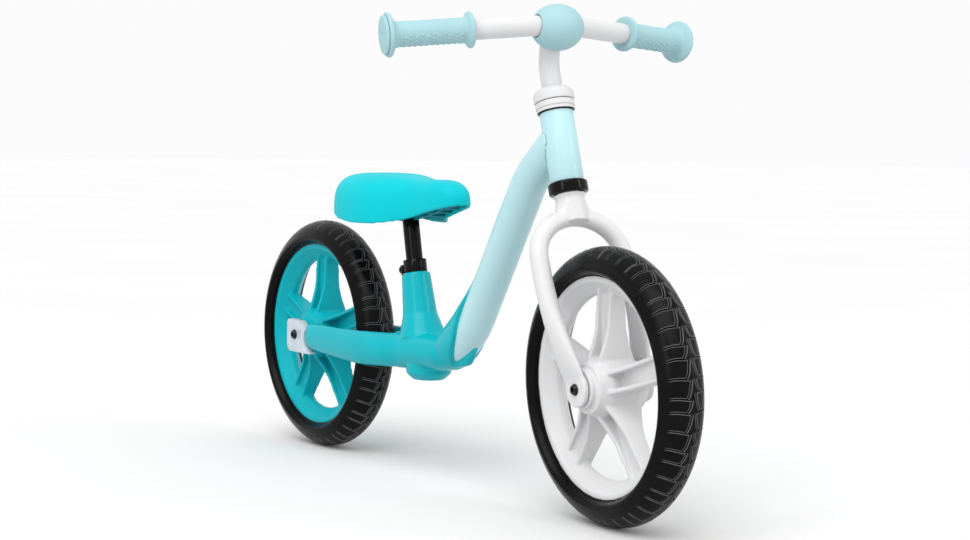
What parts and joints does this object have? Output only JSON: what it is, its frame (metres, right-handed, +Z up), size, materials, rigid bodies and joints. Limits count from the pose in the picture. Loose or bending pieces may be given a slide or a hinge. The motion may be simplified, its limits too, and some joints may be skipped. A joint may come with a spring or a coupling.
{
  "type": "balance bike",
  "caption": "Child's balance bike with spoked moulded wheels, a curved main tube, an adjustable saddle and swept-back handlebar with grips.",
  "frame": {"origin": "on the ground, midway between the two wheels", "axes": "+X forward, +Y to the rider's left, +Z up"},
  "size_m": [0.8897, 0.3841, 0.5415],
  "materials": {
    "pale_blue_paint": "satin",
    "teal_moulding": "gloss",
    "plate_metal": "satin",
    "steel": "satin",
    "black_steel": "gloss",
    "black_plastic": "gloss",
    "white_plastic": "gloss",
    "black_metal": "gloss",
    "saddle_plastic": "satin",
    "saddle_underside": "matte",
    "white_moulding": "gloss",
    "white_paint": "gloss",
    "pale_blue_foam": "matte",
    "pale_blue_rubber": "matte",
    "tyre_foam": "satin",
    "teal_plastic": "gloss"
  },
  "bodies": {
    "frame": {"head_tube": "pale_blue_paint", "main_tube": "pale_blue_paint", "rear_frame": "teal_moulding", "axle_plate_left": "plate_metal", "axle_plate_right": "plate_metal", "rear_axle": "steel", "rear_axle_bolts": "black_steel", "rear_axle_spacers": "steel", "rear_bearing_inner_races": "steel", "lower_headset_cup": "black_plastic", "upper_headset_cup": "white_plastic", "headset_outer_races": "steel", "headset_balls": "steel", "seat_clamp": "black_metal", "seat_clamp_bolt": "black_steel"},
    "seat": {"saddle_shell": "saddle_plastic", "saddle_base": "saddle_underside", "seat_post": "black_metal", "saddle_bolts": "steel"},
    "fork": {"fork": "white_moulding", "steerer_tube": "steel", "steering_collar": "white_plastic", "clamp_ring": "steel", "headset_inner_races": "steel", "front_axle": "steel", "front_axle_bolts": "black_steel", "front_axle_spacers": "steel", "front_bearing_inner_races": "steel"},
    "handlebar": {"stem": "white_paint", "handlebar": "white_paint", "bar_pad": "pale_blue_foam", "grip_left": "pale_blue_rubber", "grip_right": "pale_blue_rubber", "bar_end_plugs": "pale_blue_rubber"},
    "front_wheel": {"front_tyre": "tyre_foam", "front_rim": "white_plastic", "front_bearing_outer_races": "steel", "front_bearing_balls": "steel"},
    "rear_wheel": {"rear_tyre": "tyre_foam", "rear_rim": "teal_plastic", "rear_bearing_outer_races": "steel", "rear_bearing_balls": "steel"}
  },
  "joints": [
    {"name": "seat_height", "type": "slide", "parent": "frame", "child": "seat", "axis": [-0.2164, 0, 0.9763], "range_m": [-0.02, 0.06]},
    {"name": "steering", "type": "hinge", "parent": "frame", "child": "fork", "pos_m": [0.28013, 0, 0.145], "axis": [-0.2924, 0, 0.9563], "continuous": true},
    {"name": "handlebar_height", "type": "slide", "parent": "fork", "child": "handlebar", "axis": [-0.2924, 0, 0.9563], "range_m": [-0.008, 0.04]},
    {"name": "front_wheel_spin", "type": "hinge", "parent": "fork", "child": "front_wheel", "pos_m": [0.29996, -0.00133, 0.14499], "axis": [0.0667, 0.9976, 0.0204], "continuous": true},
    {"name": "rear_wheel_spin", "type": "hinge", "parent": "frame", "child": "rear_wheel", "pos_m": [-0.3, 0, 0.145], "axis": [0, 1, 0], "continuous": true}
  ]
}
